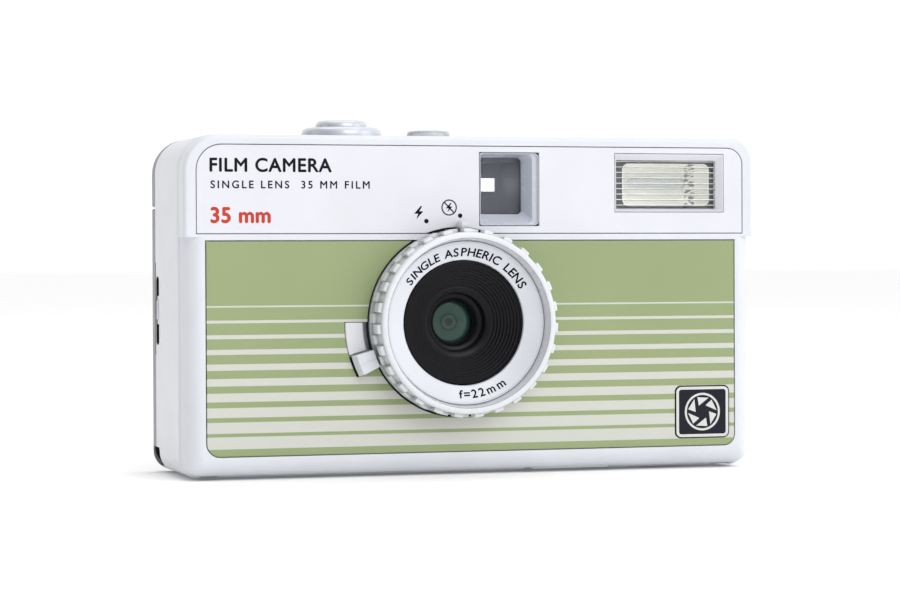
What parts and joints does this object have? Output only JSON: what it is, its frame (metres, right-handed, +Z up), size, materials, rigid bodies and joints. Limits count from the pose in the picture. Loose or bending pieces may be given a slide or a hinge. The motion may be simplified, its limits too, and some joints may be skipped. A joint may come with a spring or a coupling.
{
  "type": "half frame camera",
  "caption": "Compact half frame film camera with a fixed lens, built-in flash, window finder, striped front sheet and moving controls.",
  "frame": {"origin": "centre of the bounding box in plan, at the base the camera stands on", "axes": "+X to the image right seen from the front, +Y from the lens to the back, +Z up"},
  "size_m": [0.11, 0.039, 0.0652],
  "materials": {
    "white_shell": "satin white",
    "faceplate_white": "matte white",
    "green_sheet": "printed sheet, pale stripes on green",
    "badge_black": "gloss black",
    "black_inside": "matte black",
    "rear_grey": "satin grey",
    "silver_trim": "silver paint",
    "steel": "bright steel",
    "brass_insert": "plain brass",
    "clear_window": "clear plastic",
    "lens_glass": "coated lens",
    "reflector_cream": "bright cream",
    "funnel_black": "matte black",
    "circuit_green": "printed circuit board",
    "finder_bezel": "satin silver grey"
  },
  "bodies": {
    "camera": {"front_cover": "white_shell", "lens_face": "white_shell", "faceplate": "faceplate_white", "filter_pad": "faceplate_white", "striped_sheet": "green_sheet", "badge": "badge_black", "chassis": "black_inside", "lens_mount": "black_inside", "shutter_plate": "black_inside", "finder_tunnel": "black_inside", "eyepiece_frame": "black_inside", "flash_capacitor": "black_inside", "button_seat": "black_inside", "dial_post": "black_inside", "rear_top_cover": "rear_grey", "button_collar": "silver_trim", "hinge_pin": "steel", "strap_bar": "steel", "button_spring": "steel", "battery_contact": "steel", "screw_1": "steel", "screw_2": "steel", "screw_3": "steel", "screw_4": "steel", "tripod_socket": "brass_insert", "finder_front_lens": "clear_window", "finder_rear_lens": "clear_window", "flash_window": "clear_window", "flash_tube": "clear_window", "counter_window": "clear_window", "front_lens": "lens_glass", "rear_lens": "lens_glass", "flash_reflector": "reflector_cream", "lens_funnel": "funnel_black", "flash_board": "circuit_green", "finder_frame": "finder_bezel"},
    "ring": {"flash_ring": "white_shell"},
    "lever": {"filter_lever": "white_shell"},
    "filter": {"filter_arm": "clear_window"},
    "button": {"shutter_button": "silver_trim"},
    "blade": {"shutter_blade": "steel"},
    "winder": {"advance_wheel": "rear_grey", "take_up_spool": "black_inside"},
    "film_sprocket": {"sprocket": "black_inside"},
    "counter": {"counter_dial": "white_shell"},
    "rewinder": {"rewind_disc": "rear_grey", "rewind_fork": "black_inside"},
    "crank": {"rewind_arm": "silver_trim", "rewind_knob": "black_inside"},
    "release": {"rewind_release": "silver_trim"},
    "door": {"back_door": "rear_grey", "pressure_plate": "steel", "pressure_spring": "brass_insert"},
    "latch": {"latch_slider": "silver_trim"},
    "battery_lid": {"battery_door": "white_shell", "battery_spring": "steel"}
  },
  "joints": [
    {"name": "flash_switch", "type": "hinge", "parent": "camera", "child": "ring", "pos_m": [-0.00365, -0.016, 0.0277], "axis": [0, -1, 0], "range_deg": [0, 18.2]},
    {"name": "filter_switch", "type": "hinge", "parent": "camera", "child": "lever", "pos_m": [-0.00365, -0.014, 0.0277], "axis": [0, 1, 0], "range_deg": [0, 16]},
    {"name": "filter_swing", "type": "hinge", "parent": "camera", "child": "filter", "pos_m": [-0.01352, -0.005, 0.02411], "axis": [0, 1, 0], "range_deg": [-52, 0]},
    {"name": "shutter_press", "type": "slide", "parent": "camera", "child": "button", "axis": [0, 0, -1], "range_m": [0, 0.0015], "stiffness_N_per_m": 500, "springref_m": -0.001, "deforming": ["button_spring"]},
    {"name": "shutter_swing", "type": "hinge", "parent": "camera", "child": "blade", "pos_m": [0.00485, -0.0026, 0.0297], "axis": [0, 1, 0], "range_deg": [0, 32]},
    {"name": "film_advance", "type": "hinge", "parent": "camera", "child": "winder", "pos_m": [-0.0385, 0.0055, 0.054], "axis": [0, 0, 1], "continuous": true},
    {"name": "sprocket_turn", "type": "hinge", "parent": "camera", "child": "film_sprocket", "pos_m": [-0.0215, 0.0075, 0.028], "axis": [0, 0, 1], "continuous": true},
    {"name": "counter_turn", "type": "hinge", "parent": "camera", "child": "counter", "pos_m": [-0.0096, 0.0033, 0.0585], "axis": [0, 0, 1], "continuous": true},
    {"name": "rewind_turn", "type": "hinge", "parent": "camera", "child": "rewinder", "pos_m": [0.038, 0.0034, 0.0016], "axis": [0, 0, 1], "continuous": true},
    {"name": "crank_fold", "type": "hinge", "parent": "rewinder", "child": "crank", "pos_m": [0.0444, 0.0034, 0.00095], "axis": [0, -1, 0], "range_deg": [0, 100]},
    {"name": "release_press", "type": "slide", "parent": "camera", "child": "release", "axis": [0, 0, 1], "range_m": [0, 0.0008], "stiffness_N_per_m": 400, "springref_m": -0.001},
    {"name": "door_swing", "type": "hinge", "parent": "camera", "child": "door", "pos_m": [0.0539, 0.0135, 0.025], "axis": [0, 0, -1], "range_deg": [0, 95]},
    {"name": "latch_slide", "type": "slide", "parent": "camera", "child": "latch", "axis": [0, 0, -1], "range_m": [0, 0.0034], "stiffness_N_per_m": 250, "springref_m": -0.001},
    {"name": "battery_door_swing", "type": "hinge", "parent": "camera", "child": "battery_lid", "pos_m": [0.0117, -0.003, 0.0008], "axis": [0, 1, 0], "range_deg": [0, 100]}
  ],
  "couplings": [
    {"joint": "filter_swing", "follows": "filter_switch", "ratio": -3.25},
    {"joint": "shutter_swing", "follows": "shutter_press", "rad_per_m": 372},
    {"joint": "sprocket_turn", "follows": "film_advance", "ratio": 1.2},
    {"joint": "counter_turn", "follows": "film_advance", "ratio": 0.027}
  ]
}
